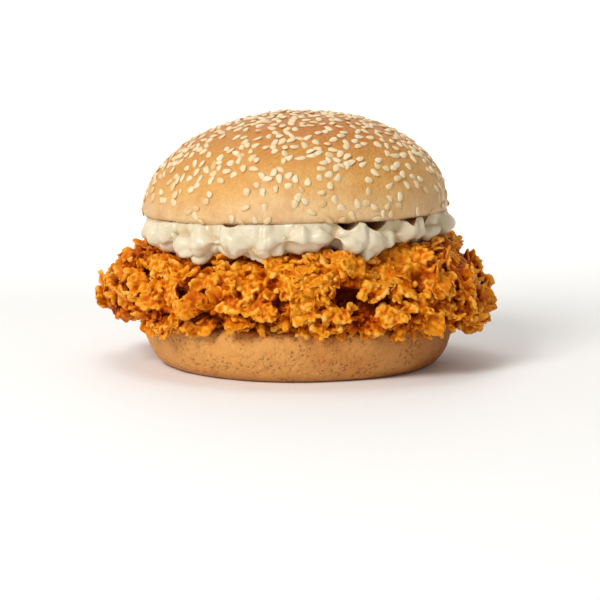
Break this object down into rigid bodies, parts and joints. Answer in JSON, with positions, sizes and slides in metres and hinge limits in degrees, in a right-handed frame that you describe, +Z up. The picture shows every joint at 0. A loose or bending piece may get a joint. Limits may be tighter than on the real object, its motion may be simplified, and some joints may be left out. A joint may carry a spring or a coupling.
{
  "type": "fried chicken burger",
  "caption": "Round seeded bun filled with a large craggy fried chicken fillet that reaches past the bun, and thick cream sauce dripping over it.",
  "frame": {"origin": "middle of the lower bun's flat foot, on the surface that the burger stands on", "axes": "+Z up, +X along the fillet's longer side with the lower-hanging end at -X, -Y towards the front"},
  "size_m": [0.1347, 0.1166, 0.0852],
  "materials": {
    "bun_base": "matt golden tan baked bread with fine pores",
    "crust": "golden orange fried breading with a faint oily sheen, browner in its hollows",
    "sauce": "glossy thick cream sauce",
    "sauce_bits": "pale grey-green chopped pickle under a film of sauce",
    "bun_dome": "satin baked bread, golden brown on top and paler towards the rim",
    "seeds": "satin cream sesame seeds"
  },
  "bodies": {
    "root": {"bun_bottom": "bun_base", "chicken_fillet": "crust", "sauce": "sauce", "bun_top": "bun_dome"}
  },
  "joints": []
}
